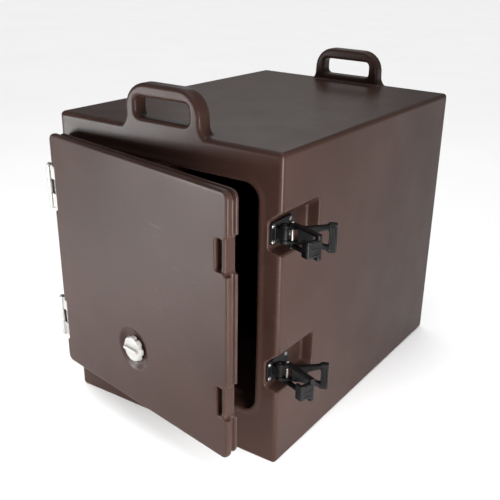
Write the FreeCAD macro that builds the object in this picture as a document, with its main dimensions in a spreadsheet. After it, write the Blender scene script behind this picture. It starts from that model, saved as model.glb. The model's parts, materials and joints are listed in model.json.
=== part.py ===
import FreeCAD, Part
import math
import os
import re
import Sketcher

# An insulated food carrier: a double-walled moulded box filled with foam, with a handle at the top
# of its front and back, and a door on two steel hinges, held shut by two nylon draw latches.
# The frame is in millimetres: the origin is the middle of the base, X runs to the carrier's right
# as its user sees it, Y runs from the door to the back, and Z is up.
# The door stands ajar and the latch levers stand out, which is how the joints rest.

SIZES = {
    # outside of the body moulding
    "body_width": 460, "body_depth": 640, "body_height": 548,
    "corner_round": 6, "top_round": 7, "base_round": 5,
    "skin": 3.0, "foam_gap": 0.2,
    # mouth that the door's plug enters, with the raised lip round it
    "mouth_width": 375, "mouth_low": 91, "mouth_high": 494, "mouth_depth": 34, "mouth_round": 27,
    "lip_width": 9, "lip_height": 2,
    # pan cavity and the rails on its side walls
    "cavity_width": 344, "cavity_low": 97, "cavity_high": 488, "cavity_back": 256, "cavity_round": 22,
    "rail_reach": 15, "rail_height": 15, "rail_pitch": 76, "rail_count": 5, "rail_low": 116,
    "rail_front": -276,
    # carrying handles
    "handle_top": 617, "handle_thick": 30, "handle_half": 74, "handle_foot": 83, "handle_root": 518,
    "handle_knee_width": 77, "handle_knee": 557, "handle_corner": 42, "handle_knee_round": 18,
    "grip_half": 55, "grip_low": 562, "grip_high": 595, "grip_round": 9, "handle_edge": 5,
    # ports that the foam is poured through
    "port_radius": 12, "port_flange": 16, "port_flange_thick": 1.6, "port_spread": 130, "port_level": 60,
    "door_port_level": 434,
    # door, as it stands when shut
    "door_left": -226, "door_right": 222, "door_low": 71, "door_high": 515, "door_corner": 12,
    "door_face": -348, "panel_back": -337, "flange_front": -329, "door_back": -323,
    "door_edge": 4, "groove_depth": 7, "flange_inset": 2,
    "plug_inset": 7, "plug_back": -288, "plug_round": 22, "plug_edge": 9,
    "core_front_back": -332,
    # gasket in its channel in the back of the door
    "gasket_inset": 0.5, "gasket_width": 8.5, "gasket_gap": 0.2, "gasket_floor": -328,
    "gasket_back": -322.4, "gasket_edge": 1.5,
    # levels of the latches and hinges
    "upper_latch_level": 417, "lower_latch_level": 173,
    "upper_hinge_level": 415, "lower_hinge_level": 157,
    # latch keepers, moulded into the door's right edge
    "keeper_edge": 214, "keeper_wall": 207, "keeper_inner": 196, "keeper_half": 30, "keeper_slot_half": 26,
    "keeper_floor": -334, "keeper_top": -345, "keeper_round": 5,
    # hinges: axis, barrel and leaves
    "hinge_axis_side": -247, "hinge_axis_front": -338, "hinge_half": 39, "knuckle_half": 13,
    "barrel_radius": 5.5, "hinge_pin_radius": 2.5, "running_gap": 0.05, "knuckle_gap": 0.4,
    "leaf_thick": 2, "leaf_back": -272, "leaf_front": -324, "seat_gap": 0.5,
    "hinge_notch": -218, "notch_gap": 1.5, "notch_round": 1.4,
    "door_leaf_front": -344, "door_leaf_back": -326, "pin_head_radius": 4.4, "pin_head_height": 2.5,
    # latch recesses in the body's right side
    "recess_floor": 206, "recess_back": -206, "recess_below": 24, "recess_above": 22,
    "recess_mouth_below": 32.5, "recess_mouth_above": 47.5, "recess_mouth": 240, "recess_round": 5,
    # latch base, lever, hook and their pins, as they lie when latched
    "pivot_side": 222, "pivot_front": -297, "pivot_radius": 3, "boss_radius": 7,
    "lug_half": 9, "base_thick": 3, "base_front": -316, "base_back": -254, "base_half": 19, "base_corner": 6,
    "cheek_inner": 9.4, "cheek_outer": 15, "cheek_radius": 8, "lever_inner": 219, "lever_outer": 229,
    "lever_neck": -264, "lever_window": -250, "lever_bar": -229, "lever_end": -216, "lever_heel": -284,
    "window_half": 6, "window_end_half": 14, "frame_half": 20, "bar_half": 24, "lever_round": 3,
    "link_side": 224.1, "link_front": -285.2, "link_radius": 2.5, "link_head_radius": 4,
    "link_head_height": 1.6, "hook_inner": 15.4, "hook_outer": 20, "hook_boss": 5.5,
    "hook_arm_inner": 220.5, "hook_arm_outer": 228.5, "hook_face": -352.4, "hook_bite": -345.4,
    "hook_tip": -337, "hook_reach": 199.5, "hook_tip_edge": 206, "tongue_half": 13, "hook_round": 3,
    # steam vent in the door
    "vent_side": -12, "vent_level": 180, "dimple_radius": 40, "dimple_depth": 6,
    "vent_tube_radius": 12, "vent_bore": 8, "vent_flange_radius": 17, "vent_flange_thick": 2,
    "cap_radius": 24, "cap_thick": 7, "cap_stem_radius": 7.9, "cap_stem_length": 24, "cap_lobes": 8,
    "cap_lobe_radius": 5, "cap_grip_half": 18, "cap_grip_thick": 6, "cap_grip_height": 5,
    # screws, and how far from the middle or edge of its piece each row of them stands
    "screw_radius": 2, "screw_head_radius": 4, "screw_head_height": 1.8, "screw_length": 13,
    "latch_screw_rise": 13, "latch_screw_front": 6, "latch_screw_back": 7,
    "body_screw_rise": 26, "body_screw_outer": 10, "body_screw_inner": 26,
    "door_screw_rise": 29, "door_screw_edge": 6,
}

# How far the moving parts stand from their latched or shut places, in degrees.
DOOR_AJAR = 10.5
LEVER_OUT = 65.0
HOOK_OUT = 135.0

LATCHES = {"upper": "upper_latch_level", "lower": "lower_latch_level"}
HINGES = {"upper": "upper_hinge_level", "lower": "lower_hinge_level"}
UP = FreeCAD.Vector(0, 0, 1)

document = FreeCAD.newDocument("food_carrier")
sheet = document.addObject("Spreadsheet::Sheet", "sizes")
for row, (alias, value) in enumerate(SIZES.items(), start=1):
    sheet.set(f"A{row}", alias)
    sheet.set(f"B{row}", str(value))
    sheet.setAlias(f"B{row}", alias)
document.recompute()


# ---- expressions, placements and selections ----

def bound(text):
    """The text as an expression, with each size's name pointing at its cell."""
    return re.sub(r"[a-z][a-z_]*", lambda m: "sizes." + m[0] if m[0] in SIZES else m[0], str(text))


def size(text):
    """The number that a sum of sizes comes to."""
    return float(sheet.evalExpression(bound(text)))


def turned(obj, side, front, degrees):
    """Turns a finished object about the upright line through (side, front)."""
    centre = FreeCAD.Vector(size(side), size(front), 0)
    turn = FreeCAD.Placement(FreeCAD.Vector(), FreeCAD.Rotation(UP, degrees), centre)
    obj.Placement = turn.multiply(obj.Placement)
    return obj


def along(axis):
    """Selects straight edges that run along the axis."""
    return lambda edge: abs(getattr(edge.tangentAt(edge.FirstParameter), axis)) > 0.999


def level(axis, text):
    """Selects edges that lie in the plane where the axis has the value of the text."""
    value = size(text)
    return lambda edge: all(abs(getattr(v.Point, axis) - value) < 0.01 for v in edge.Vertexes)


def both(*tests):
    """Selects edges that pass every test."""
    return lambda edge: all(test(edge) for test in tests)


def either(*tests):
    """Selects edges that pass at least one test."""
    return lambda edge: any(test(edge) for test in tests)


def unless(test):
    """Selects edges that fail the test."""
    return lambda edge: not test(edge)


def between(axis, low, high):
    """Selects edges whose middle lies between two values on the axis."""
    low_value = size(low)
    high_value = size(high)
    return lambda edge: low_value < getattr(edge.CenterOfMass, axis) < high_value


# ---- solids ----

def rectangle(u_low, u_high, v_low, v_high):
    return [(u_low, v_low), (u_high, v_low), (u_high, v_high), (u_low, v_high)]


def outline(sketch, corners):
    """Adds a closed outline to a sketch, with every corner's place bound to the sheet."""
    first = sketch.GeometryCount
    points = [FreeCAD.Vector(size(u), size(v), 0) for u, v in corners]
    for start, end in zip(points, points[1:] + points[:1]):
        sketch.addGeometry(Part.LineSegment(start, end))
    count = len(points)
    for index, (u, v) in enumerate(corners):
        line = first + index
        before = first + (index - 1) % count
        sketch.addConstraint(Sketcher.Constraint("Coincident", before, 2, line, 1))
        across = sketch.addConstraint(Sketcher.Constraint("DistanceX", -1, 1, line, 1, points[index].x))
        sketch.setExpression(f"Constraints[{across}]", bound(u))
        upwards = sketch.addConstraint(Sketcher.Constraint("DistanceY", -1, 1, line, 1, points[index].y))
        sketch.setExpression(f"Constraints[{upwards}]", bound(v))


def prism(name, plane, loops, low, high, rounds=()):
    """A body padded from outlines on an origin plane between two values of the third axis.
    XZ outlines are padded along Y, which is the reverse of that plane's normal."""
    body = document.addObject("PartDesign::Body", name)
    sketch = body.newObject("Sketcher::SketchObject", name + "_sketch")
    support = next(item for item in body.Origin.OriginFeatures if item.Role == plane)
    sketch.AttachmentSupport = [(support, "")]
    sketch.MapMode = "FlatFace"
    offset = f"-({high})" if plane == "XZ_Plane" else low
    sketch.setExpression("AttachmentOffset.Base.z", bound(offset))
    for loop in loops:
        outline(sketch, loop)
    pad = body.newObject("PartDesign::Pad", name + "_pad")
    pad.Profile = sketch
    pad.setExpression("Length", bound(f"({high}) - ({low})"))
    document.recompute()
    rounded(body, name, rounds)
    return body


def rounded(body, name, rounds):
    """Fillets a body, one radius at a time, on the edges that each test selects."""
    for number, (radius, test) in enumerate(rounds):
        last = body.Tip
        edges = [f"Edge{i}" for i, edge in enumerate(last.Shape.Edges, start=1) if test(edge)]
        fillet = body.newObject("PartDesign::Fillet", f"{name}_fillet_{number}")
        fillet.Base = (last, edges)
        fillet.setExpression("Radius", bound(radius))
        document.recompute()


def cylinder(name, radius, length, base, axis="z"):
    """A Part cylinder that starts at the base point and runs along the axis."""
    item = document.addObject("Part::Cylinder", name)
    item.setExpression("Radius", bound(radius))
    item.setExpression("Height", bound(length))
    placed(item, base, axis)
    return item


def cone(name, radius, end_radius, length, base, axis="z"):
    item = document.addObject("Part::Cone", name)
    item.setExpression("Radius1", bound(radius))
    item.setExpression("Radius2", bound(end_radius))
    item.setExpression("Height", bound(length))
    placed(item, base, axis)
    return item


def placed(item, base, axis):
    """Sets a primitive on its base point, with its own Z along x, y or z, or against it."""
    directions = {"x": (1, 0, 0), "y": (0, 1, 0), "z": (0, 0, 1), "-x": (-1, 0, 0), "-y": (0, -1, 0)}
    item.Placement.Rotation = FreeCAD.Rotation(UP, FreeCAD.Vector(*directions[axis]))
    for letter, text in zip("xyz", base):
        item.setExpression(f"Placement.Base.{letter}", bound(text))


def fused(name, *items):
    union = document.addObject("Part::MultiFuse", name)
    union.Shapes = list(items)
    return union


def grouped(name, *items):
    group = document.addObject("Part::Compound", name)
    group.Links = list(items)
    return group


def cut(name, base, *tools):
    difference = document.addObject("Part::Cut", name)
    difference.Base = base
    difference.Tool = tools[0] if len(tools) == 1 else grouped(name + "_tools", *tools)
    return difference


# ---- body moulding ----

def handle_loop(name, front, back, inset):
    """A D-shaped loop with a flared foot, standing on the body's top edge."""
    half = f"handle_half - {inset}"
    knee = f"handle_knee_width - {inset}"
    foot = f"handle_foot - {inset}"
    top = f"handle_top - {inset}"
    side = [(foot, "handle_root"), (foot, "body_height + 1.5"), (knee, "handle_knee"), (half, top)]
    mirrored = [(f"-({u})", v) for u, v in reversed(side)]
    grip = rectangle(f"-grip_half - ({inset})", f"grip_half + {inset}",
                     f"grip_low - ({inset})", f"grip_high + {inset}")
    front_face = f"{front} + {inset}"
    back_face = f"{back} - ({inset})"
    above = between("z", "body_height + 3", "handle_top + 1")
    rims = either(level("y", front_face), level("y", back_face))
    return prism(name, "XZ_Plane", [side + mirrored, grip], front_face, back_face, rounds=[
        (f"handle_corner - {inset}", both(along("y"), between("z", "grip_high + 5", "handle_top + 1"))),
        (f"grip_round + {inset}", both(along("y"), between("x", "-grip_half - 5", "grip_half + 5"))),
        ("handle_knee_round", both(along("y"), between("z", "handle_knee - 2", "handle_knee + 2"))),
        (f"handle_edge - {inset}", both(rims, above)),
    ])


def latch_recess(name, middle, inset):
    """The room for one latch: open to the side and the front, with sloping top and bottom."""
    corners = [
        (f"recess_floor - ({inset})", f"{middle} - recess_below - ({inset})"),
        ("recess_mouth", f"{middle} - recess_mouth_below - ({inset})"),
        ("recess_mouth", f"{middle} + recess_mouth_above + {inset}"),
        (f"recess_floor - ({inset})", f"{middle} + recess_above + {inset}"),
    ]
    return prism(name, "XZ_Plane", [corners], "-body_depth / 2 - 20", f"recess_back + {inset}", rounds=[
        ("recess_round", both(along("y"), between("x", "recess_floor - 6", "recess_floor + 1"))),
        ("recess_round", both(level("y", f"recess_back + {inset}"), between("x", "0", "recess_mouth - 1"))),
    ])


def rails(name, sign, inset):
    """The pan rails on one side wall, drawn in by the inset and rooted in the wall."""
    edge = f"{sign} * (cavity_width / 2 - rail_reach + {inset})"
    root = f"{sign} * (cavity_width / 2 + {inset} + 1)"
    sides = (edge, root) if sign > 0 else (root, edge)
    profile = rectangle(*sides, f"rail_low + {inset}", f"rail_low + rail_height - ({inset})")
    body = prism(name, "XZ_Plane", [profile], f"rail_front + {inset}", f"cavity_back + {inset} + 1")
    body.AllowCompound = True
    pattern = body.newObject("PartDesign::LinearPattern", name + "_pattern")
    pattern.Originals = [body.Tip]
    pattern.Direction = (body.Group[0], ["V_Axis"])
    pattern.setExpression("Length", bound("rail_pitch * (rail_count - 1)"))
    pattern.setExpression("Occurrences", bound("rail_count"))
    body.Tip = pattern
    return body


def carrier_block(name, inset):
    """The body as if it were solid, drawn in by the inset on all its faces: with no inset it is the
    outside of the moulding, and one skin further in it is the room for the foam."""
    half_width = f"body_width / 2 - ({inset})"
    half_depth = f"body_depth / 2 - ({inset})"
    top = f"body_height - ({inset})"
    block = prism(name + "_block", "XY_Plane",
                  [rectangle(f"-({half_width})", half_width, f"-({half_depth})", half_depth)], inset, top,
                  rounds=[(f"corner_round - ({inset})", along("z")),
                          (f"top_round - ({inset})", level("z", top)),
                          (f"base_round - ({inset})", level("z", inset))])
    front_handle = handle_loop(name + "_front_handle",
                               "-body_depth / 2", "handle_thick - body_depth / 2", inset)
    back_handle = handle_loop(name + "_back_handle",
                              "body_depth / 2 - handle_thick", "body_depth / 2", inset)
    mouth = prism(name + "_mouth", "XZ_Plane",
                  [rectangle(f"-mouth_width / 2 - ({inset})", f"mouth_width / 2 + {inset}",
                             f"mouth_low - ({inset})", f"mouth_high + {inset}")],
                  "-body_depth / 2 - 20", f"mouth_depth - body_depth / 2 + {inset}",
                  rounds=[(f"mouth_round + {inset}", along("y"))])
    cavity = prism(name + "_cavity", "XZ_Plane",
                   [rectangle(f"-cavity_width / 2 - ({inset})", f"cavity_width / 2 + {inset}",
                              f"cavity_low - ({inset})", f"cavity_high + {inset}")],
                   "-body_depth / 2", f"cavity_back + {inset}",
                   rounds=[(f"cavity_round + {inset}", along("y")),
                           (f"cavity_round / 2 + {inset}", level("y", f"cavity_back + {inset}"))])
    recesses = [latch_recess(f"{name}_{which}_recess", middle, inset) for which, middle in LATCHES.items()]
    shaped = cut(name + "_shaped", fused(name + "_union", block, front_handle, back_handle),
                 mouth, cavity, *recesses)
    return fused(name, shaped, rails(name + "_right_rails", 1, inset), rails(name + "_left_rails", -1, inset))


def mouth_lip():
    """The low ridge round the mouth that the gasket shuts against."""
    outer = rectangle("-mouth_width / 2 - lip_width", "mouth_width / 2 + lip_width",
                      "mouth_low - lip_width", "mouth_high + lip_width")
    inner = rectangle("-mouth_width / 2", "mouth_width / 2", "mouth_low", "mouth_high")
    face = "-body_depth / 2 - lip_height"
    inside = both(between("x", "-mouth_width / 2 - 1", "mouth_width / 2 + 1"),
                  between("z", "mouth_low - 1", "mouth_high + 1"))
    return prism("lip", "XZ_Plane", [outer, inner], face, "2 - body_depth / 2", rounds=[
        ("mouth_round", both(along("y"), inside)),
        ("mouth_round + lip_width", both(along("y"), unless(inside))),
        ("lip_height * 0.9", level("y", face)),
    ])


def screw(name, point, axis):
    """A pan-headed screw whose head starts at the point and whose shank runs along the axis."""
    letter = axis[-1]
    sign = -1 if axis.startswith("-") else 1
    index = "xyz".index(letter)
    seat = list(point)
    seat[index] = f"{point[index]} + {sign} * screw_head_height"
    head = cone(name + "_head", "screw_head_radius * 0.6", "screw_head_radius", "screw_head_height",
                point, axis)
    shank = cylinder(name + "_shank", "screw_radius", "screw_length", seat, axis)
    return fused(name, head, shank)


def latch_screws():
    """Four screws hold each latch base, driven from the recess into the side wall."""
    head = "recess_floor + base_thick + screw_head_height"
    columns = ("base_front + latch_screw_front", "base_back - latch_screw_back")
    return [screw(f"{which}_latch_screw_{row}_{column}", (head, front, f"{middle} {rise}"), "-x")
            for which, middle in LATCHES.items()
            for row, rise in enumerate(("- latch_screw_rise", "+ latch_screw_rise"))
            for column, front in enumerate(columns)]


def body_hinge_screws():
    """Three screws hold each hinge's body leaf to the body's left side."""
    head = "-body_width / 2 - screw_head_height"
    places = (("leaf_back - body_screw_outer", "- body_screw_rise"),
              ("leaf_back - body_screw_inner", ""),
              ("leaf_back - body_screw_outer", "+ body_screw_rise"))
    return [screw(f"{which}_body_hinge_screw_{number}", (head, front, f"{middle} {rise}"), "x")
            for which, middle in HINGES.items()
            for number, (front, rise) in enumerate(places)]


def door_hinge_screws():
    """Three screws hold each hinge's door leaf to the door's left edge."""
    head = "hinge_notch - leaf_thick - screw_head_height"
    front = "door_leaf_back - door_screw_edge"
    return [screw(f"{which}_door_hinge_screw_{number}", (head, front, f"{middle} {rise}"), "x")
            for which, middle in HINGES.items()
            for number, rise in enumerate(("- door_screw_rise", "", "+ door_screw_rise"))]


def port_plug(name, side, back, height, axis):
    """A plug with a thin flange, pushed into a foam port."""
    index = "xyz".index(axis[-1])
    sign = -1 if axis.startswith("-") else 1
    seat = [side, back, height]
    outer = list(seat)
    outer[index] = f"{seat[index]} - ({sign}) * port_flange_thick"
    flange = cone(name + "_flange", "port_flange * 0.9", "port_flange", "port_flange_thick", outer, axis)
    shank = cylinder(name + "_shank", "port_radius", "skin + 2", seat, axis)
    return fused(name, flange, shank)


def hinge_seat(name, middle):
    """The shallow seat for a hinge's body leaf, in the body's left side."""
    return prism(name, "XZ_Plane",
                 [rectangle("-body_width / 2 - 5", "leaf_thick - body_width / 2",
                            f"{middle} - hinge_half - seat_gap", f"{middle} + hinge_half + seat_gap")],
                 "-body_depth / 2 - 20", "leaf_back + seat_gap")


# ---- door moulding, as it stands when shut ----

def door_slab(name, front, back, inset, rounds=()):
    """One layer of the door's thickness, with its outline drawn in by the inset."""
    return prism(name, "XZ_Plane",
                 [rectangle(f"door_left + {inset}", f"door_right - ({inset})",
                            f"door_low + {inset}", f"door_high - ({inset})")],
                 front, back, rounds=[("door_corner", along("y")), *rounds])


def keeper_cuts(name, middle, inset):
    """The notch in the door's edge that the hook's arms pass, the slot for the hook's lip, and the
    saddle that sinks the keeper between them below the door's face."""
    notch = prism(name + "_notch", "XZ_Plane",
                  [rectangle(f"keeper_edge - ({inset})", "door_right + 10",
                             f"{middle} - keeper_half - ({inset})", f"{middle} + keeper_half + {inset}")],
                  "door_face - 5", "door_back + 5",
                  rounds=[("keeper_round", both(along("y"), between("x", "0", "keeper_edge + 1")))])
    slot = prism(name + "_slot", "XZ_Plane",
                 [rectangle(f"keeper_inner - ({inset})", f"keeper_wall + {inset}",
                            f"{middle} - keeper_slot_half - ({inset})",
                            f"{middle} + keeper_slot_half + {inset}")],
                 "door_face - 5", f"keeper_floor + {inset}", rounds=[("keeper_round", along("y"))])
    saddle = prism(name + "_saddle", "XZ_Plane",
                   [rectangle(f"keeper_inner - ({inset})", "door_right + 10",
                              f"{middle} - keeper_slot_half - ({inset})",
                              f"{middle} + keeper_slot_half + {inset}")],
                   "door_face - 5", f"keeper_top + {inset}",
                   rounds=[("keeper_round", both(along("y"), between("x", "0", "keeper_wall")))])
    return [notch, slot, saddle]


def hinge_notch(name, middle, inset):
    """The notch in the door's left edge for a hinge's door leaf."""
    return prism(name, "XZ_Plane",
                 [rectangle("door_left - 10", f"hinge_notch + {inset}",
                            f"{middle} - hinge_half - notch_gap - ({inset})",
                            f"{middle} + hinge_half + notch_gap + {inset}")],
                 "door_face - 5", "door_back + 5",
                 rounds=[("notch_round", both(along("y"), between("x", "hinge_notch - 1", "0")))])


def plug_block(name, front, inset):
    """The part of the door that enters the mouth, drawn in by the inset."""
    gap = f"plug_inset + {inset}"
    back = f"plug_back - ({inset})"
    return prism(name, "XZ_Plane",
                 [rectangle(f"-mouth_width / 2 + {gap}", f"mouth_width / 2 - ({gap})",
                            f"mouth_low + {gap}", f"mouth_high - ({gap})")],
                 front, back,
                 rounds=[(f"plug_round - ({inset})", along("y")),
                         (f"plug_edge - ({inset})", level("y", back))])


def ring(name, inset, width, front, back, edge=None):
    """A rounded rectangular ring round the mouth's outline, the inset outside it."""
    inner = f"({inset})"
    outer = f"({inset} + {width})"
    loops = [rectangle(f"-mouth_width / 2 - {gap}", f"mouth_width / 2 + {gap}",
                       f"mouth_low - {gap}", f"mouth_high + {gap}") for gap in (outer, inner)]
    inside = both(between("x", f"-mouth_width / 2 - {inner} - 1", f"mouth_width / 2 + {inner} + 1"),
                  between("z", f"mouth_low - {inner} - 1", f"mouth_high + {inner} + 1"))
    rounds = [(f"mouth_round + {inner}", both(along("y"), inside)),
              (f"mouth_round + {outer}", both(along("y"), unless(inside)))]
    if edge:
        rounds.append((edge, level("y", back)))
    return prism(name, "XZ_Plane", loops, front, back, rounds=rounds)


def vent_hole(name, radius):
    """A hole right through the door at the vent."""
    return cylinder(name, radius, "plug_back - door_face + 10",
                    ("vent_side", "door_face - 5", "vent_level"), "y")


def door_core(name, inset):
    """The room for the door's foam, or the foam itself one gap further in."""
    panel = door_slab(name + "_panel", f"door_face + skin + {inset}", f"core_front_back - ({inset})",
                      f"(groove_depth + skin + {inset})")
    plug = plug_block(name + "_plug", f"door_face + skin + {inset}", f"(skin + {inset})")
    removed = []
    for which, middle in LATCHES.items():
        removed += keeper_cuts(f"{name}_{which}_keeper", middle, f"(skin + {inset})")
    dimple = cylinder(name + "_dimple", "dimple_radius + 2", f"dimple_depth + skin + {inset} + 5",
                      ("vent_side", "door_face - 5", "vent_level"), "y")
    sleeve = vent_hole(name + "_sleeve", f"vent_tube_radius + skin + {inset}")
    return cut(name, fused(name + "_union", panel, plug), dimple, sleeve, *removed)


# ---- hinges, as they stand when the door is shut ----

def knuckle(name, low, high, bore):
    barrel = cylinder(name + "_barrel", "barrel_radius", f"({high}) - ({low})",
                      ("hinge_axis_side", "hinge_axis_front", low))
    hole = cylinder(name + "_bore", bore, f"({high}) - ({low}) + 2",
                    ("hinge_axis_side", "hinge_axis_front", f"{low} - 1"))
    return barrel, hole


def body_leaf(which, middle):
    """Leaf let into the body's side, with an arm to the middle knuckle."""
    name = f"{which}_hinge_body_leaf"
    plate = prism(name + "_plate", "XY_Plane",
                  [rectangle("-body_width / 2", "leaf_thick - body_width / 2", "leaf_front", "leaf_back")],
                  f"{middle} - hinge_half", f"{middle} + hinge_half")
    bent = [("leaf_thick - body_width / 2", "leaf_front + 3"),
            ("leaf_thick - body_width / 2", "leaf_front - 2"),
            ("hinge_axis_side + 3", "hinge_axis_front - 1"),
            ("hinge_axis_side - 3", "hinge_axis_front + 3.5"),
            ("-body_width / 2", "leaf_front + 4")]
    arm = prism(name + "_arm", "XY_Plane", [bent], f"{middle} - knuckle_half", f"{middle} + knuckle_half")
    barrel, hole = knuckle(name, f"{middle} - knuckle_half", f"{middle} + knuckle_half", "hinge_pin_radius")
    return cut(name, fused(name + "_union", plate, arm, barrel), hole, body_screws)


def door_leaf(which, middle):
    """Leaf in the door's edge notch, with arms to the top and bottom knuckles."""
    name = f"{which}_hinge_door_leaf"
    pieces = [prism(name + "_plate", "XY_Plane",
                    [rectangle("hinge_notch - leaf_thick", "hinge_notch",
                               "door_leaf_front", "door_leaf_back")],
                    f"{middle} - hinge_half", f"{middle} + hinge_half")]
    holes = []
    for end, low, high in (("top", f"{middle} + knuckle_half + knuckle_gap", f"{middle} + hinge_half"),
                           ("bottom", f"{middle} - hinge_half", f"{middle} - knuckle_half - knuckle_gap")):
        barrel, hole = knuckle(f"{name}_{end}", low, high, "hinge_pin_radius + running_gap")
        arm = prism(f"{name}_{end}_arm", "XY_Plane",
                    [rectangle("hinge_axis_side", "hinge_notch - leaf_thick / 2",
                               "hinge_axis_front - 1.5", "hinge_axis_front + 1.5")], low, high)
        pieces += [barrel, arm]
        holes.append(hole)
    return cut(name, fused(name + "_union", *pieces), *holes, door_screws)


def hinge_pin(which, middle):
    """Pin pressed into the body leaf's knuckle, with a head under and over the barrel."""
    name = f"{which}_hinge_pin"
    length = "2 * hinge_half + 2 * knuckle_gap"
    shank = cylinder(name + "_shank", "hinge_pin_radius", length,
                     ("hinge_axis_side", "hinge_axis_front", f"{middle} - hinge_half - knuckle_gap"))
    top = cone(name + "_top", "pin_head_radius", "pin_head_radius * 0.6", "pin_head_height",
               ("hinge_axis_side", "hinge_axis_front", f"{middle} + hinge_half + knuckle_gap"))
    foot = cone(name + "_foot", "pin_head_radius * 0.6", "pin_head_radius", "pin_head_height",
                ("hinge_axis_side", "hinge_axis_front",
                 f"{middle} - hinge_half - knuckle_gap - pin_head_height"))
    return fused(name, shank, top, foot)


# ---- latches, as they lie when latched ----

def at_pivot(low):
    return ("pivot_side", "pivot_front", low)


def at_link(low):
    return ("link_side", "link_front", low)


def latch_base(which, middle):
    """Plate screwed to the recess floor, with the lug that carries the lever."""
    name = f"{which}_latch_base"
    plate = prism(name + "_plate", "YZ_Plane",
                  [rectangle("base_front", "base_back", f"{middle} - base_half", f"{middle} + base_half")],
                  "recess_floor", "recess_floor + base_thick", rounds=[("base_corner", along("x"))])
    lug = prism(name + "_lug", "XY_Plane",
                [rectangle("recess_floor + base_thick - 1", "pivot_side",
                           "pivot_front - boss_radius", "pivot_front + boss_radius")],
                f"{middle} - lug_half", f"{middle} + lug_half")
    boss = cylinder(name + "_boss", "boss_radius", "2 * lug_half", at_pivot(f"{middle} - lug_half"))
    hole = cylinder(name + "_hole", "pivot_radius", "2 * lug_half + 2", at_pivot(f"{middle} - lug_half - 1"))
    return cut(name, fused(name + "_union", plate, lug, boss), hole, latch_screw_group)


def latch_lever(which, middle):
    """Lever: two cheeks round the lug, a tapering frame with a window, and a bar across its end."""
    name = f"{which}_latch_lever"
    side = [("lever_heel - 8", "cheek_outer"), ("lever_neck", "cheek_outer"), ("lever_bar - 4", "frame_half"),
            ("lever_bar", "bar_half"), ("lever_end", "bar_half")]
    frame = [(u, f"{middle} + {v}") for u, v in side] + [(u, f"{middle} - {v}") for u, v in reversed(side)]
    window = [("lever_window", f"{middle} - window_half"), ("lever_bar", f"{middle} - window_end_half"),
              ("lever_bar", f"{middle} + window_end_half"), ("lever_window", f"{middle} + window_half")]
    plate = prism(name + "_plate", "YZ_Plane", [frame, window], "lever_inner", "lever_outer", rounds=[
        ("lever_round", both(along("x"), between("y", "lever_bar - 40", "lever_end + 1"))),
        ("lever_round * 0.8", both(level("x", "lever_outer"), between("y", "lever_neck", "lever_end + 1"))),
        ("lever_round * 0.5", both(level("x", "lever_inner"), between("y", "lever_neck", "lever_end + 1"))),
    ])
    cheeks = cylinder(name + "_cheeks", "cheek_radius", "2 * cheek_outer",
                      at_pivot(f"{middle} - cheek_outer"))
    web = prism(name + "_web", "XY_Plane",
                [rectangle("lever_inner", "lever_outer", "pivot_front", "lever_heel")],
                f"{middle} - cheek_outer", f"{middle} + cheek_outer")
    slot = prism(name + "_slot", "XY_Plane",
                 [rectangle("lever_inner - 10", "lever_outer + 10", "pivot_front - 12", "lever_heel + 8")],
                 f"{middle} - cheek_inner", f"{middle} + cheek_inner")
    pivot = cylinder(name + "_pivot", "pivot_radius + running_gap", "2 * cheek_outer + 2",
                     at_pivot(f"{middle} - cheek_outer - 1"))
    link = cylinder(name + "_link", "link_radius", "2 * cheek_outer + 2",
                    at_link(f"{middle} - cheek_outer - 1"))
    return cut(name, fused(name + "_union", plate, cheeks, web), slot, pivot, link)


def latch_pivot_pin(which, middle):
    return cylinder(f"{which}_latch_pivot_pin", "pivot_radius", "2 * cheek_outer",
                    at_pivot(f"{middle} - cheek_outer"))


def latch_link_pin(which, middle):
    """Pin that carries the hook's arms, with a domed head at each end."""
    name = f"{which}_latch_link_pin"
    half = "(hook_outer + knuckle_gap)"
    shank = cylinder(name + "_shank", "link_radius", f"2 * {half}", at_link(f"{middle} - {half}"))
    top = cone(name + "_top", "link_head_radius", "link_head_radius * 0.6", "link_head_height",
               at_link(f"{middle} + {half}"))
    foot = cone(name + "_foot", "link_head_radius * 0.6", "link_head_radius", "link_head_height",
                at_link(f"{middle} - {half} - link_head_height"))
    return fused(name, shank, top, foot)


def latch_hook(which, middle):
    """Hook: two arms from the link pin, a bar across their ends, and a tongue whose lip drops in
    the keeper."""
    name = f"{which}_latch_hook"
    pieces = []
    holes = []
    for end, low, high in (("top", f"{middle} + hook_inner", f"{middle} + hook_outer"),
                           ("bottom", f"{middle} - hook_outer", f"{middle} - hook_inner")):
        length = f"({high}) - ({low})"
        arm = prism(f"{name}_{end}_arm", "XY_Plane",
                    [rectangle("hook_arm_inner", "hook_arm_outer", "hook_bite - 2", "link_front")], low, high)
        boss = cylinder(f"{name}_{end}_boss", "hook_boss", length, at_link(low))
        pieces += [arm, boss]
        holes.append(cylinder(f"{name}_{end}_hole", "link_radius + running_gap", f"{length} + 2",
                              at_link(f"{low} - 1")))
    bar = prism(name + "_bar", "XY_Plane",
                [rectangle("hook_arm_inner - 1", "hook_arm_outer", "hook_face", "hook_bite")],
                f"{middle} - hook_outer", f"{middle} + hook_outer",
                rounds=[("hook_round", both(along("z"), level("y", "hook_face")))])
    tongue = prism(name + "_tongue", "XY_Plane",
                   [rectangle("hook_reach", "hook_arm_inner + 4", "hook_face", "hook_bite")],
                   f"{middle} - tongue_half", f"{middle} + tongue_half",
                   rounds=[("hook_round", both(along("z"), level("y", "hook_face")))])
    lip = prism(name + "_lip", "XY_Plane",
                [rectangle("hook_reach", "hook_tip_edge", "hook_bite - 1", "hook_tip")],
                f"{middle} - tongue_half", f"{middle} + tongue_half",
                rounds=[("hook_round * 0.8", both(along("z"), level("y", "hook_tip")))])
    return cut(name, fused(name + "_union", bar, tongue, lip, *pieces), *holes)


# ---- vent ----

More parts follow.
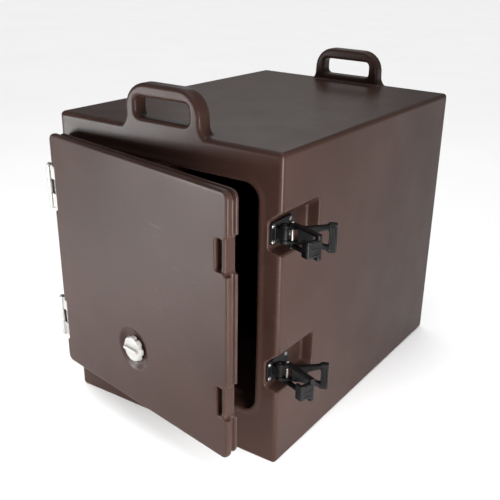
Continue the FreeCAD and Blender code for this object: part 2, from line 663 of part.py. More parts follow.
def vent_seat():
    """Flanged tube that lines the hole through the door."""
    floor = "door_face + dimple_depth"
    flange = cylinder("seat_flange", "vent_flange_radius", "vent_flange_thick",
                      ("vent_side", f"{floor} - vent_flange_thick", "vent_level"), "y")
    tube = cylinder("seat_tube", "vent_tube_radius", f"plug_back - ({floor}) + 1",
                    ("vent_side", floor, "vent_level"), "y")
    bore = vent_hole("seat_bore", "vent_bore")
    return cut("vent_seat", fused("seat_union", flange, tube), bore)


def vent_cap():
    """Round cap with a scalloped rim, a bar to turn it by and a stem that closes the tube."""
    back = "door_face + dimple_depth - vent_flange_thick - knuckle_gap"
    seat = ("vent_side", back, "vent_level")
    disc = cone("cap_disc", "cap_radius", "cap_radius * 0.9", "cap_thick", seat, "-y")
    stem = cylinder("cap_stem", "cap_stem_radius", "cap_stem_length", seat, "y")
    grip = prism("cap_grip", "XZ_Plane",
                 [rectangle("vent_side - cap_grip_half", "vent_side + cap_grip_half",
                            "vent_level - cap_grip_thick / 2", "vent_level + cap_grip_thick / 2")],
                 f"{back} - cap_thick - cap_grip_height", f"{back} - cap_thick + 1",
                 rounds=[("cap_grip_thick * 0.45", along("y"))])
    scallops = []
    for number in range(int(size("cap_lobes"))):
        angle = f"{number} * 360 / cap_lobes + 22.5"
        scallops.append(cylinder(f"cap_scallop_{number}", "cap_lobe_radius", "cap_thick + 2",
                                 (f"vent_side + (cap_radius + 2) * cos({angle})", f"{back} + 1",
                                  f"vent_level + (cap_radius + 2) * sin({angle})"), "-y"))
    return cut("vent_cap", fused("cap_union", disc, stem, grip), *scallops)


# ---- the sub-parts ----

latch_screw_group = grouped("latch_screws", *latch_screws())
body_screws = grouped("body_hinge_screws", *body_hinge_screws())
door_screws = grouped("door_screw_set", *door_hinge_screws())
body_plugs = grouped("body_foam_plugs", *[
    port_plug(f"body_plug_{index}", side, "body_depth / 2", "port_level", "-y")
    for index, side in enumerate(("-port_spread", "port_spread"))])
door_plug = port_plug("door_port_plug", "vent_side", "plug_back", "door_port_level", "-y")

outside = carrier_block("outside", "0")
room = carrier_block("foam_room", "skin")
seats = [hinge_seat(f"{which}_hinge_seat", middle) for which, middle in HINGES.items()]
body_shell = cut("body_shell", fused("lipped_outside", outside, mouth_lip()),
                 room, latch_screw_group, body_screws, body_plugs, *seats)
body_foam = cut("body_foam", carrier_block("foam_block", "(skin + foam_gap)"),
                latch_screw_group, body_screws, body_plugs)

door_layers = [
    door_slab("door_panel", "door_face", "panel_back", "0", rounds=[("door_edge", level("y", "door_face"))]),
    door_slab("door_web", "panel_back", "flange_front", "groove_depth"),
    door_slab("door_flange", "flange_front", "door_back", "flange_inset"),
    plug_block("door_plug_block", "door_back", "0"),
]
door_removed = [door_core("door_room", "0"), vent_hole("door_vent_hole", "vent_tube_radius"),
                ring("gasket_channel", "gasket_inset - gasket_gap", "gasket_width + 2 * gasket_gap",
                     "gasket_floor", "door_back + 1")]
for which, middle in LATCHES.items():
    door_removed += keeper_cuts(f"{which}_keeper", middle, "0")
for which, middle in HINGES.items():
    door_removed.append(hinge_notch(f"{which}_notch", middle, "0"))
dimple = cone("dimple", "dimple_radius", "dimple_radius * 0.72", "dimple_depth",
              ("vent_side", "door_face", "vent_level"), "y")
door_shell = cut("door_shell", fused("door_union", *door_layers),
                 dimple, door_plug, door_screws, *door_removed)
door_foam = cut("door_foam", door_core("door_foam_block", "foam_gap"), door_plug, door_screws)
door_gasket = ring("door_gasket", "gasket_inset", "gasket_width",
                   "gasket_floor", "gasket_back", "gasket_edge")

fixed_parts = [body_shell, body_foam, body_plugs, body_screws, latch_screw_group]
door_parts = [door_shell, door_foam, grouped("door_foam_plug", door_plug), door_gasket,
              grouped("door_hinge_screws", door_screws), vent_seat(), vent_cap()]
lever_parts = []
hook_parts = []
for which, middle in HINGES.items():
    fixed_parts += [body_leaf(which, middle), hinge_pin(which, middle)]
    door_parts.append(door_leaf(which, middle))
for which, middle in LATCHES.items():
    fixed_parts += [latch_base(which, middle), latch_pivot_pin(which, middle)]
    lever_parts += [latch_lever(which, middle), latch_link_pin(which, middle)]
    hook_parts.append(latch_hook(which, middle))
document.recompute()

# The door swings on its pins, the levers on their pivots, and each hook on its link pin as well.
for part in door_parts:
    turned(part, "hinge_axis_side", "hinge_axis_front", -DOOR_AJAR)
for part in hook_parts:
    turned(part, "link_side", "link_front", HOOK_OUT)
for part in lever_parts + hook_parts:
    turned(part, "pivot_side", "pivot_front", -LEVER_OUT)
document.recompute()

sub_parts = fixed_parts + door_parts + lever_parts + hook_parts
for item in document.Objects:
    if "Invalid" in item.State or "Error" in item.State:
        raise RuntimeError(f"{item.Name} did not recompute: {item.State}")
for part in sub_parts:
    part.Label = part.Name
    if part.Shape.isNull() or not part.Shape.isValid():
        raise RuntimeError(f"{part.Name} has no valid shape")

os.makedirs("parts", exist_ok=True)
for part in sub_parts:
    part.Shape.exportStep(f"parts/{part.Label}.step")
    print(f"{part.Label}: {len(part.Shape.Solids)} solids, {part.Shape.Volume / 1000:.1f} cm3")
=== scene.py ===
import json
import math

import bmesh
import bpy
from mathutils import Matrix, Vector


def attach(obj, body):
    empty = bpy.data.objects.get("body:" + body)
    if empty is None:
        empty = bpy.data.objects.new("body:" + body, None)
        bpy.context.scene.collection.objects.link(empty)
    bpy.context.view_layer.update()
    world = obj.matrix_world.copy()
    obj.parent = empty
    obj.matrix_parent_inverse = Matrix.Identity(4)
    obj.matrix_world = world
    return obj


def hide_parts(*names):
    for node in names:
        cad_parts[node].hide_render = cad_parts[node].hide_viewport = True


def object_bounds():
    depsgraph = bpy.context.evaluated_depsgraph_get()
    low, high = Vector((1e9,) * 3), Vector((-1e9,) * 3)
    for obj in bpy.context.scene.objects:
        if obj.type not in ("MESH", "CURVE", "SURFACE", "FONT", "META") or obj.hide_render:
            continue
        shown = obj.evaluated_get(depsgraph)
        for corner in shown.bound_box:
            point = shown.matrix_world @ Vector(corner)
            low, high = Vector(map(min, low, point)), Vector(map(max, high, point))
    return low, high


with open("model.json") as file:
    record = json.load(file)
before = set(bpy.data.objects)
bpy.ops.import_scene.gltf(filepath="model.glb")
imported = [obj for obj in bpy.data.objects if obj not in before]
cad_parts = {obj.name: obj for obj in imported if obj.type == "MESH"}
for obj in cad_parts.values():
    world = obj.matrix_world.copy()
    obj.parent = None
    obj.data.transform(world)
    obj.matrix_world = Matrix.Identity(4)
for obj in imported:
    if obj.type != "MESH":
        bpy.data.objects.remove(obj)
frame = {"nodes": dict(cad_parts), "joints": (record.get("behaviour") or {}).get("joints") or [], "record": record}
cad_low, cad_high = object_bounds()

# The looks of an insulated food carrier, in the CAD frame, in metres. Its mouldings are remade from
# the CAD solids with the soft edges of moulded plastic, and the small hardware is modelled here.

MM = 0.001
SCREW_RADIUS = 4.0
SCREW_HEIGHT = 1.8

# How each kind of piece is remade: voxel size in metres, smoothing passes, share of the triangles kept.
REMADE = {
    "body": (0.0025, 3, 0.16),
    "door": (0.0018, 3, 0.25),
    "port_plug": (0.0006, 2, 0.3),
    "hinge_leaf": (0.00045, 1, 0.3),
    "hinge_pin": (0.0004, 2, 0.3),
    "latch": (0.0005, 2, 0.25),
    "latch_pin": (0.00035, 2, 0.3),
    "vent_cap": (0.0005, 2, 0.3),
    "vent_seat": (0.0006, 2, 0.3),
}

# Each softbox: where it stands, what it faces, its width and height in metres, and its power in watts.
SOFTBOXES = {
    "left_softbox": ((-1.6, -1.75, 0.22), (0.1, -0.4, 0.3), 0.5, 0.4, 34),
    "floor_softbox": ((-0.62, -1.12, 0.35), (-0.62, -1.12, 0.0), 0.9, 0.5, 24),
    "right_softbox": ((1.0, -0.7, 0.28), (0.23, -0.2, 0.28), 0.35, 0.45, 23),
    "rear_softbox": ((-1.1, 1.7, 1.5), (0.0, 0.0, 0.55), 1.0, 0.6, 2.2),
}
OVERHEAD_STRENGTH = 2.5
OVERHEAD_ANGLE = 70
OVERHEAD_TILT = (-4, -3)
STUDIO_STRENGTH = 0.22

# The camera: where it stands, how far round from the front, how high and how tilted it looks, in
# degrees, and its lens in millimetres with the shift that frames the carrier.
CAMERA_PLACE = (0.7957, -1.2223, 0.8248)
CAMERA_AZIMUTH = 31.45
CAMERA_ELEVATION = 23.77
CAMERA_ROLL = 2.06
CAMERA_LENS = 54.432
CAMERA_SENSOR = 36
CAMERA_SHIFT = (-0.0753, 0.0531)

nodes = frame["nodes"]
joints = {joint["name"]: joint for joint in frame["joints"]}
collection = bpy.context.scene.collection


# ---- placements: the parts as stored, and as they are when shut and latched ----

def turned(joint_name, degrees):
    """The motion of a joint's child when the joint is turned from rest."""
    joint = joints[joint_name]
    centre = Matrix.Translation(Vector(joint["pos_m"]))
    turn = Matrix.Rotation(math.radians(degrees), 4, Vector(joint["axis"]))
    return centre @ turn @ centre.inverted()


DOOR_SHUT = joints["door_hinge"]["range_deg"][0]
LATCHED = joints["upper_lever_pivot"]["range_deg"][0]
HOOK_RATIO = frame["record"]["behaviour"]["couplings"][0]["ratio"]

CARRIER = Matrix.Identity(4)
DOOR = turned("door_hinge", DOOR_SHUT).inverted()


def lever_place(which):
    return turned(f"{which}_lever_pivot", LATCHED).inverted()


def hook_place(which):
    latched = turned(f"{which}_lever_pivot", LATCHED) @ turned(f"{which}_hook_pivot", LATCHED * HOOK_RATIO)
    return latched.inverted()


# ---- mesh tools ----

def cad_mesh(place, *names):
    """The CAD nodes' meshes in one, brought back from where they are placed."""
    mesh = bmesh.new()
    for name in names:
        mesh.from_mesh(nodes[name].data)
    bmesh.ops.remove_doubles(mesh, verts=mesh.verts, dist=1e-6)
    mesh.transform(place.inverted())
    return mesh


def applied(piece):
    """Bakes the piece's modifiers into its mesh."""
    graph = bpy.context.evaluated_depsgraph_get()
    baked = bpy.data.meshes.new_from_object(piece.evaluated_get(graph))
    piece.modifiers.clear()
    piece.data = baked


def finished(name, mesh, place, body, material, replaced=()):
    """Makes the piece from a bmesh, in its place on its body."""
    mesh.transform(place)
    data = bpy.data.meshes.new(name)
    mesh.to_mesh(data)
    mesh.free()
    piece = bpy.data.objects.new(name, data)
    collection.objects.link(piece)
    for polygon in piece.data.polygons:
        polygon.use_smooth = True
    piece.data.materials.append(material)
    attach(piece, body)
    if replaced:
        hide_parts(*replaced)
    return piece


def moulded(mesh, kind):
    """Remakes a mesh as one moulding whose edges and inner corners are soft."""
    voxel, passes, keep = REMADE[kind]
    data = bpy.data.meshes.new("moulding")
    mesh.to_mesh(data)
    mesh.free()
    piece = bpy.data.objects.new("moulding", data)
    collection.objects.link(piece)
    remesh = piece.modifiers.new("remesh", "REMESH")
    remesh.mode = "VOXEL"
    remesh.voxel_size = voxel
    smooth = piece.modifiers.new("smooth", "SMOOTH")
    smooth.factor = 0.5
    smooth.iterations = passes
    decimate = piece.modifiers.new("decimate", "DECIMATE")
    decimate.ratio = keep
    applied(piece)
    result = bmesh.new()
    result.from_mesh(piece.data)
    bpy.data.objects.remove(piece)
    return result


def remade(name, kind, place, body, material, slot, *cad_nodes):
    """Makes one soft-edged piece in the stead of the CAD nodes."""
    mesh = moulded(cad_mesh(place, *cad_nodes), kind)
    return finished(name, mesh, place, body, material, cad_nodes)


def even_normals(piece):
    """Lets the large flat faces decide the shading where they meet the small round ones."""
    weighted = piece.modifiers.new("normals", "WEIGHTED_NORMAL")
    weighted.weight = 80
    applied(piece)


def add_block(mesh, low, high):
    """Adds a block between two corners, in millimetres."""
    made = bmesh.ops.create_cube(mesh, size=1)["verts"]
    centre = [(a + b) / 2 * MM for a, b in zip(low, high)]
    spans = [(b - a) * MM for a, b in zip(low, high)]
    for vert in made:
        vert.co = Vector([c + v * s for c, v, s in zip(centre, vert.co, spans)])


def add_ring(mesh, centre, radius, thickness, around=64, across=12):
    """Adds a torus, in millimetres, whose axis lies along Y."""
    rings = []
    for i in range(around):
        turn = 2 * math.pi * i / around
        ring = []
        for j in range(across):
            lean = 2 * math.pi * j / across
            reach = radius + thickness * math.cos(lean)
            offset = Vector((reach * math.cos(turn), thickness * math.sin(lean), reach * math.sin(turn)))
            ring.append(mesh.verts.new((Vector(centre) + offset) * MM))
        rings.append(ring)
    for i in range(around):
        for j in range(across):
            k = (j + 1) % across
            n = (i + 1) % around
            mesh.faces.new((rings[i][j], rings[i][k], rings[n][k], rings[n][j]))


def islands(mesh):
    """The lowest and highest corners of each separate solid in a mesh."""
    seen = set()
    boxes = []
    for start in mesh.verts:
        if start in seen:
            continue
        group = [start]
        seen.add(start)
        for vert in group:
            for edge in vert.link_edges:
                other = edge.other_vert(vert)
                if other not in seen:
                    seen.add(other)
                    group.append(other)
        boxes.append(([min(v.co[i] for v in group) for i in range(3)],
                      [max(v.co[i] for v in group) for i in range(3)]))
    return boxes


def swept(mesh, path, profile):
    """Sweeps a closed profile along a closed path: path gives (point, outward), profile (out, back)."""
    rings = []
    for point, outward in path:
        rings.append([mesh.verts.new((point + outward * out + Vector((0, back, 0))) * MM)
                      for out, back in profile])
    count = len(profile)
    for ring, after in zip(rings, rings[1:] + rings[:1]):
        for j in range(count):
            k = (j + 1) % count
            mesh.faces.new((ring[j], ring[k], after[k], after[j]))


def rounded_loop(half, low, high, radius, steps=14):
    """Points and outward directions round an upright rounded rectangle, in millimetres."""
    loop = []
    centres = ((half - radius, high - radius, 0), (radius - half, high - radius, 90),
               (radius - half, low + radius, 180), (half - radius, low + radius, 270))
    for side, height, first in centres:
        for step in range(steps + 1):
            angle = math.radians(first + 90 * step / steps)
            outward = Vector((math.cos(angle), 0, math.sin(angle)))
            loop.append((Vector((side, 0, height)) + outward * radius, outward))
    return loop


# ---- materials ----

class Nodes:
    """A short way to write a material's node tree."""

    def __init__(self, name):
        self.material = bpy.data.materials.new(name)
        self.material.use_nodes = True
        self.tree = self.material.node_tree
        self.shader = self.tree.nodes["Principled BSDF"]
        self.place = self.tree.nodes.new("ShaderNodeTexCoord").outputs["Object"]

    def add(self, kind, **values):
        node = self.tree.nodes.new("ShaderNode" + kind)
        for key, value in values.items():
            if key in node.inputs:
                self.put(node.inputs[key], value)
            else:
                setattr(node, key, value)
        return node

    def put(self, socket, value):
        if isinstance(value, bpy.types.NodeSocket):
            self.tree.links.new(value, socket)
        else:
            socket.default_value = value

    def noise(self, scale, detail=4.0, roughness=0.5, stretch=(1, 1, 1), distortion=0.0):
        mapping = self.add("Mapping", Vector=self.place, Scale=stretch)
        node = self.add("TexNoise", Vector=mapping.outputs[0], Scale=scale, Detail=detail,
                        Roughness=roughness, Distortion=distortion)
        return node.outputs["Fac"]

    def ramp(self, value, low, high, to_low=0.0, to_high=1.0):
        node = self.add("MapRange", Value=value)
        for key, number in (("From Min", low), ("From Max", high), ("To Min", to_low), ("To Max", to_high)):
            node.inputs[key].default_value = number
        return node.outputs[0]

    def mix(self, factor, a, b):
        node = self.add("Mix", data_type="RGBA")
        self.put(node.inputs[0], factor)
        self.put(node.inputs[6], a)
        self.put(node.inputs[7], b)
        return node.outputs[2]

    def math(self, operation, a, b):
        node = self.add("Math", operation=operation)
        self.put(node.inputs[0], a)
        self.put(node.inputs[1], b)
        return node.outputs[0]

    def edges(self, radius):
        """How strongly the surface turns nearby: about 1 on an edge and 0 on a flat."""
        soft = self.add("Bevel", samples=6, Radius=radius)
        true = self.add("NewGeometry")
        dot = self.add("VectorMath", operation="DOT_PRODUCT")
        self.put(dot.inputs[0], soft.outputs[0])
        self.put(dot.inputs[1], true.outputs["Normal"])
        return self.ramp(dot.outputs["Value"], 1.0, 0.86)

    def bump(self, height, distance, strength=1.0, under=None):
        node = self.add("Bump", Height=height, Distance=distance, Strength=strength)
        if under is not None:
            self.put(node.inputs["Normal"], under)
        return node.outputs[0]

    def finish(self, **sockets):
        for key, value in sockets.items():
            self.put(self.shader.inputs[key.replace("_", " ")], value)
        return self.material


def shade(r, g, b):
    return (r, g, b, 1.0)


def polyethylene():
    """Dark brown rotationally moulded polyethylene: satin, mottled, and scuffed where it is handled."""
    n = Nodes("moulded_polyethylene")
    cloud = n.ramp(n.noise(5.5, 3.0), 0.3, 0.7)
    colour = n.mix(cloud, shade(0.025, 0.0122, 0.0094), shade(0.034, 0.017, 0.0132))
    fleck = n.ramp(n.noise(420.0, 2.0), 0.62, 0.75)
    colour = n.mix(n.math("MULTIPLY", fleck, 0.25), colour, shade(0.075, 0.052, 0.046))
    worn = n.math("MULTIPLY", n.edges(0.004), n.ramp(n.noise(38.0, 6.0), 0.38, 0.62))
    colour = n.mix(n.math("MULTIPLY", worn, 0.55), colour, shade(0.13, 0.098, 0.09))
    scratch = n.ramp(n.noise(26.0, 8.0, 0.62, (1.0, 1.0, 14.0), 0.6), 0.63, 0.68)
    across = n.ramp(n.noise(22.0, 8.0, 0.62, (9.0, 9.0, 1.0), 0.9), 0.655, 0.69)
    scuffs = n.math("MULTIPLY", n.math("MAXIMUM", scratch, across), n.ramp(n.noise(3.2, 2.0), 0.45, 0.62))
    colour = n.mix(n.math("MULTIPLY", scuffs, 0.3), colour, shade(0.11, 0.083, 0.076))
    rough = n.ramp(n.noise(14.0, 5.0), 0.25, 0.75, 0.29, 0.38)
    rough = n.math("ADD", rough, n.math("MULTIPLY", scuffs, 0.14))
    waves = n.bump(n.noise(9.0, 1.0), 0.0011)
    grain = n.bump(n.noise(650.0, 3.0), 0.00022, 0.6, waves)
    return n.finish(Base_Color=colour, Roughness=rough, Normal=grain, Specular_IOR_Level=0.11)


def plug_plastic():
    """Darker injection-moulded polyethylene of the foam port plugs."""
    n = Nodes("plug_polyethylene")
    colour = n.mix(n.ramp(n.noise(60.0), 0.3, 0.7), shade(0.04, 0.026, 0.022), shade(0.055, 0.036, 0.031))
    rough = n.ramp(n.noise(150.0), 0.3, 0.7, 0.42, 0.55)
    return n.finish(Base_Color=colour, Roughness=rough, Normal=n.bump(n.noise(900.0), 0.0001, 0.5))


def nylon():
    """Satin black nylon of the latches, with a fine spark-eroded grain and rubbed edges."""
    n = Nodes("latch_nylon")
    cloud = n.ramp(n.noise(90.0), 0.35, 0.65)
    colour = n.mix(cloud, shade(0.003, 0.003, 0.0033), shade(0.007, 0.0067, 0.007))
    worn = n.math("MULTIPLY", n.edges(0.0012), n.ramp(n.noise(160.0, 5.0), 0.35, 0.6))
    colour = n.mix(n.math("MULTIPLY", worn, 0.5), colour, shade(0.05, 0.049, 0.05))
    rough = n.ramp(n.noise(220.0), 0.3, 0.7, 0.32, 0.46)
    return n.finish(Base_Color=colour, Roughness=rough, Normal=n.bump(n.noise(1500.0, 2.0), 0.00006, 0.6),
                    Specular_IOR_Level=0.1)


def steel(name, stretch, tint):
    """Brushed stainless steel whose brushing runs along the stretched axis."""
    n = Nodes(name)
    lines = n.noise(900.0, 5.0, 0.6, stretch)
    cloudy = n.ramp(n.noise(45.0, 4.0), 0.3, 0.7)
    colour = n.mix(cloudy, shade(*[t * 0.86 for t in tint]), shade(*tint))
    colour = n.mix(n.ramp(lines, 0.35, 0.7, 0.0, 0.3), colour, shade(*[t * 0.62 for t in tint]))
    rough = n.math("ADD", n.ramp(lines, 0.3, 0.7, 0.22, 0.38), n.math("MULTIPLY", cloudy, 0.06))
    return n.finish(Base_Color=colour, Roughness=rough, Metallic=1.0, Normal=n.bump(lines, 0.00004, 0.7))


def rubber():
    """Soft black gasket rubber, dusty in random patches."""
    n = Nodes("gasket_rubber")
    dust = n.ramp(n.noise(70.0, 6.0), 0.5, 0.75)
    colour = n.mix(n.math("MULTIPLY", dust, 0.5), shade(0.008, 0.008, 0.008), shade(0.03, 0.028, 0.026))
    rough = n.ramp(dust, 0.0, 1.0, 0.62, 0.85)
    return n.finish(Base_Color=colour, Roughness=rough, Normal=n.bump(n.noise(800.0), 0.00008, 0.6))


def vent_plastic():
    """Pale glossy plastic of the steam vent, greyed in random patches."""
    n = Nodes("vent_plastic")
    dirt = n.ramp(n.noise(110.0, 5.0), 0.45, 0.75)
    colour = n.mix(n.math("MULTIPLY", dirt, 0.35), shade(0.29, 0.281, 0.27), shade(0.19, 0.18, 0.167))
    rough = n.ramp(dirt, 0.0, 1.0, 0.36, 0.52)
    return n.finish(Base_Color=colour, Roughness=rough, Normal=n.bump(n.noise(500.0), 0.00008, 0.4),
                    Subsurface_Weight=0.08, Subsurface_Scale=0.004)


def floor_paint():
    n = Nodes("studio_floor")
    colour = n.mix(n.ramp(n.noise(2.0), 0.3, 0.7), shade(0.9, 0.9, 0.9), shade(0.92, 0.92, 0.92))
    return n.finish(Base_Color=colour, Roughness=0.7)


pe = polyethylene()
plug_pe = plug_plastic()
black_nylon = nylon()
leaf_steel = steel("hinge_steel", (1.0, 1.0, 0.03), (0.36, 0.35, 0.335))
pin_steel = steel("pin_steel", (1.0, 1.0, 0.2), (0.34, 0.333, 0.32))
screw_steel = steel("screw_steel", (0.3, 1.0, 1.0), (0.36, 0.352, 0.34))
gasket_black = rubber()
vent_white = vent_plastic()

NODE_MATERIALS = {
    "moulded_plastic": pe, "plug_plastic": plug_pe, "insulating_foam": plug_pe, "gasket_rubber": gasket_black,
    "latch_nylon": black_nylon, "steel": pin_steel, "vent_plastic": vent_white,
}
for subpart in frame["record"]["subparts"]:
    cad = nodes[subpart["node"]]
    cad.data.materials.clear()
    cad.data.materials.append(NODE_MATERIALS[subpart["material_slot"]])


# ---- body and door mouldings ----

# The foam fills the room in each shell, so a shell and its foam together make one solid moulding.
even_normals(remade("body_moulding", "body", CARRIER, "carrier", pe, "moulded_plastic",
                    "body_shell", "body_foam"))
even_normals(remade("door_moulding", "door", DOOR, "door", pe, "moulded_plastic",
                    "door_shell", "door_foam"))
remade("body_port_plugs", "port_plug", CARRIER, "carrier", plug_pe, "plug_plastic", "body_foam_plugs")
remade("door_port_plug", "port_plug", DOOR, "door", plug_pe, "plug_plastic", "door_foam_plug")


# ---- gasket: a strip with two lips, in its channel round the plug ----

def mesh_span(mesh):
    """The lowest and highest corners of a mesh, in millimetres."""
    return ([min(v.co[i] for v in mesh.verts) / MM for i in range(3)],
            [max(v.co[i] for v in mesh.verts) / MM for i in range(3)])


def gasket():
    mesh = cad_mesh(DOOR, "door_gasket")
    low, high = mesh_span(mesh)
    mesh.free()
    channel_middle = 4.25
    corner = 31.7
    loop = rounded_loop((high[0] - low[0]) / 2 - channel_middle,
                        low[2] + channel_middle, high[2] - channel_middle, corner)
    floor = low[1] + 0.1
    back = high[1]
    # half of the profile, from the channel's floor over one lip to the groove between the two lips
    half = [(4.1, floor), (4.1, back - 2.4), (3.4, back - 0.4), (2.6, back), (1.8, back - 0.5),
            (0.9, back - 1.9)]
    profile = [(-out, level) for out, level in half] + [(0.0, back - 2.2)] + half[::-1]
    strip = bmesh.new()
    swept(strip, loop, profile)
    bmesh.ops.recalc_face_normals(strip, faces=strip.faces)
    return finished("gasket_strip", strip, DOOR, "door", gasket_black, ["door_gasket"])


gasket()


# ---- screws ----

def add_screw(mesh, place, radius, height):
    """Adds a pan-headed screw with a cross recess, whose head stands on the place's XY plane."""
    around = 48
    turn = 2 * math.pi / around

    def ring(radii, level):
        return [mesh.verts.new(place @ (Vector((r * math.cos(i * turn), r * math.sin(i * turn), level)) * MM))
                for i, r in enumerate(radii)]

    def joined(a, b):
        for i in range(around):
            k = (i + 1) % around
            mesh.faces.new((a[i], a[k], b[k], b[i]))

    cross = []
    for i in range(around):
        angle = (i * turn) % (math.pi / 2)
        arm = max(abs(math.cos(angle)), abs(math.sin(angle)))
        cross.append(radius * (0.62 if arm > 0.97 else 0.2))
    rings = [ring([radius * 0.97] * around, 0.0), ring([radius] * around, height * 0.25),
             ring([radius * 0.93] * around, height * 0.62), ring([radius * 0.78] * around, height * 0.87),
             ring([radius * 0.68] * around, height * 0.95), ring([c * 1.06 for c in cross], height),
             ring(cross, height * 0.93), ring([c * 0.7 for c in cross], height * 0.2)]
    for lower, upper in zip(rings, rings[1:]):
        joined(lower, upper)
    mesh.faces.new(rings[-1])
    mesh.faces.new(list(reversed(rings[0])))


def screws(name, node, place, body, outward):
    """Replaces the screws of one node: outward is the side of X that their heads face."""
    source = cad_mesh(place, node)
    mesh = bmesh.new()
    for number, (low, high) in enumerate(islands(source)):
        head = high[0] if outward > 0 else low[0]
        seat = Vector((head - outward * SCREW_HEIGHT * MM, (low[1] + high[1]) / 2, (low[2] + high[2]) / 2))
        facing = Matrix.Rotation(math.radians(90 * outward), 4, "Y")
        spin = Matrix.Rotation(math.radians(37 * number), 4, "Z")
        add_screw(mesh, Matrix.Translation(seat) @ facing @ spin, SCREW_RADIUS, SCREW_HEIGHT)
    source.free()
    bmesh.ops.recalc_face_normals(mesh, faces=mesh.faces)
    return finished(name, mesh, place, body, screw_steel, [node])


screws("body_hinge_screw_heads", "body_hinge_screws", CARRIER, "carrier", -1)
screws("door_hinge_screw_heads", "door_hinge_screws", DOOR, "door", -1)
screws("latch_screw_heads", "latch_screws", CARRIER, "carrier", 1)


# ---- hinges ----

for which in ("upper", "lower"):
    remade(f"{which}_body_leaf", "hinge_leaf", CARRIER, "carrier", leaf_steel, "steel",
           f"{which}_hinge_body_leaf")
    remade(f"{which}_door_leaf", "hinge_leaf", DOOR, "door", leaf_steel, "steel",
           f"{which}_hinge_door_leaf")
    remade(f"{which}_pin", "hinge_pin", CARRIER, "carrier", pin_steel, "steel",
           f"{which}_hinge_pin")


# ---- latches ----

def latch_base(which):
    """The base, with a raised rib along its top and bottom edges."""
    mesh = cad_mesh(CARRIER, f"{which}_latch_base")
    low, high = mesh_span(mesh)
    rib_margin = 6
    for edge in (low[2] + 0.8, high[2] - 0.8):
        add_block(mesh, (low[0] + 0.5, low[1] + rib_margin, edge - 0.7),
                  (low[0] + 4.2, high[1] - rib_margin, edge + 0.7))
    finished(f"{which}_base", moulded(mesh, "latch"), CARRIER, "carrier", black_nylon,
             [f"{which}_latch_base"])
    return (low[2] + high[2]) / 2


def latch_lever(which, middle):
    """The lever, with finger grooves across its end bar and a rib along each side of its web."""
    place = lever_place(which)
    mesh = cad_mesh(place, f"{which}_latch_lever")
    low, high = mesh_span(mesh)
    outer = high[0]
    grip_half = 19
    for row in range(5):
        grip = high[1] - 2.4 - 2.3 * row
        add_block(mesh, (outer - 0.6, grip - 0.55, middle - grip_half),
                  (outer + 0.7, grip + 0.55, middle + grip_half))
    for rib in (middle - 12, middle + 12):
        add_block(mesh, (outer - 0.6, low[1] + 24, rib - 0.8), (outer + 0.8, low[1] + 40, rib + 0.8))
    finished(f"{which}_lever", moulded(mesh, "latch"), place, f"{which}_lever", black_nylon,
             [f"{which}_latch_lever"])


def latch_hook(which, middle):
    """The hook, with three raised ribs across its face."""
    place = hook_place(which)
    mesh = cad_mesh(place, f"{which}_latch_hook")
    low, high = mesh_span(mesh)
    rib_margin = 6
    for rib in (middle - 10, middle, middle + 10):
        add_block(mesh, (low[0] + rib_margin, low[1] - 0.9, rib - 0.9),
                  (high[0] - rib_margin, low[1] + 1, rib + 0.9))
    finished(f"{which}_hook", moulded(mesh, "latch"), place, f"{which}_hook", black_nylon,
             [f"{which}_latch_hook"])


for which in ("upper", "lower"):
    middle = latch_base(which)
    latch_lever(which, middle)
    remade(f"{which}_link_pin", "latch_pin", lever_place(which), f"{which}_lever", pin_steel, "steel",
           f"{which}_latch_link_pin")
    remade(f"{which}_pivot_pin", "latch_pin", CARRIER, "carrier", pin_steel, "steel",
           f"{which}_latch_pivot_pin")
    latch_hook(which, middle)


# ---- vent ----

def vent_knob():
    """The cap, with a raised ring round its face."""
    mesh = cad_mesh(DOOR, "vent_cap")
    low, high = mesh_span(mesh)
    face = low[1] + 5.2
    add_ring(mesh, ((low[0] + high[0]) / 2, face, (low[2] + high[2]) / 2), 19.4, 0.9)
    finished("vent_knob", moulded(mesh, "vent_cap"), DOOR, "vent", vent_white, ["vent_cap"])


vent_knob()
remade("vent_tube", "vent_seat", DOOR, "door", vent_white, "vent_plastic", "vent_seat")


# ---- floor, light and camera ----

def floor():
    mesh = bmesh.new()
    bmesh.ops.create_grid(mesh, x_segments=4, y_segments=4, size=30)
    data = bpy.data.meshes.new("floor")
    mesh.to_mesh(data)
    mesh.free()
    plane = bpy.data.objects.new("floor", data)
    plane.location.z = cad_low.z - 0.0004
    collection.objects.link(plane)
    plane.data.materials.append(floor_paint())


def area_light(name, position, target, width, height, power):
    lamp = bpy.data.lights.new(name, "AREA")
    lamp.shape = "RECTANGLE"
    lamp.size = width
    lamp.size_y = height
    lamp.energy = power
    light = bpy.data.objects.new(name, lamp)
    light.location = position
    light.rotation_euler = (Vector(target) - Vector(position)).to_track_quat("-Z", "Y").to_euler()
    collection.objects.link(light)


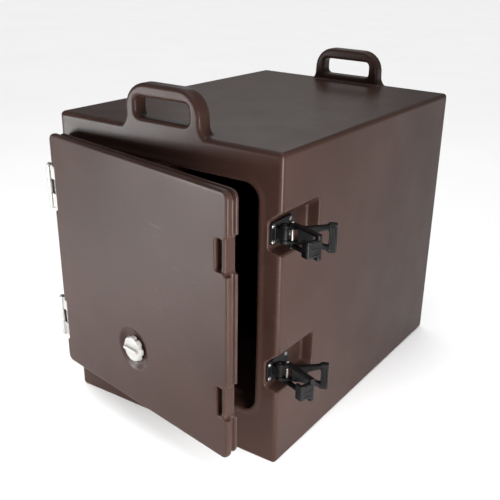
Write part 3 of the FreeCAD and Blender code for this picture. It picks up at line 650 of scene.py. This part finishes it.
def overhead_light():
    lamp = bpy.data.lights.new("overhead", "SUN")
    lamp.energy = OVERHEAD_STRENGTH
    lamp.angle = math.radians(OVERHEAD_ANGLE)
    light = bpy.data.objects.new("overhead", lamp)
    light.rotation_euler = (math.radians(OVERHEAD_TILT[0]), math.radians(OVERHEAD_TILT[1]), 0)
    collection.objects.link(light)


def studio_light():
    """A surround that the camera sees as white, and that lights the carrier only softly."""
    world = bpy.data.worlds.new("studio")
    world.use_nodes = True
    tree = world.node_tree
    background = tree.nodes["Background"]
    background.inputs["Color"].default_value = (1, 1, 1, 1)
    strength = tree.nodes.new("ShaderNodeMapRange")
    strength.inputs["To Min"].default_value = STUDIO_STRENGTH
    strength.inputs["To Max"].default_value = 1.0
    tree.links.new(tree.nodes.new("ShaderNodeLightPath").outputs["Is Camera Ray"], strength.inputs["Value"])
    tree.links.new(strength.outputs[0], background.inputs["Strength"])
    bpy.context.scene.world = world


def camera():
    azimuth = math.radians(CAMERA_AZIMUTH)
    elevation = math.radians(CAMERA_ELEVATION)
    roll = math.radians(CAMERA_ROLL)
    back = Vector((math.sin(azimuth) * math.cos(elevation), -math.cos(azimuth) * math.cos(elevation),
                   math.sin(elevation)))
    right = Vector((0, 0, 1)).cross(back).normalized()
    up = back.cross(right)
    rolled_right = right * math.cos(roll) + up * math.sin(roll)
    rolled_up = up * math.cos(roll) - right * math.sin(roll)
    eye = bpy.data.objects.new("camera", bpy.data.cameras.new("camera"))
    eye.data.sensor_width = CAMERA_SENSOR
    eye.data.lens = CAMERA_LENS
    eye.data.shift_x = CAMERA_SHIFT[0]
    eye.data.shift_y = CAMERA_SHIFT[1]
    turn = Matrix((rolled_right, rolled_up, back)).transposed().to_4x4()
    eye.matrix_world = Matrix.Translation(CAMERA_PLACE) @ turn
    collection.objects.link(eye)
    bpy.context.scene.camera = eye


floor()
overhead_light()
for name, settings in SOFTBOXES.items():
    area_light(name, *settings)
studio_light()
camera()
bpy.context.scene.view_settings.view_transform = "Standard"
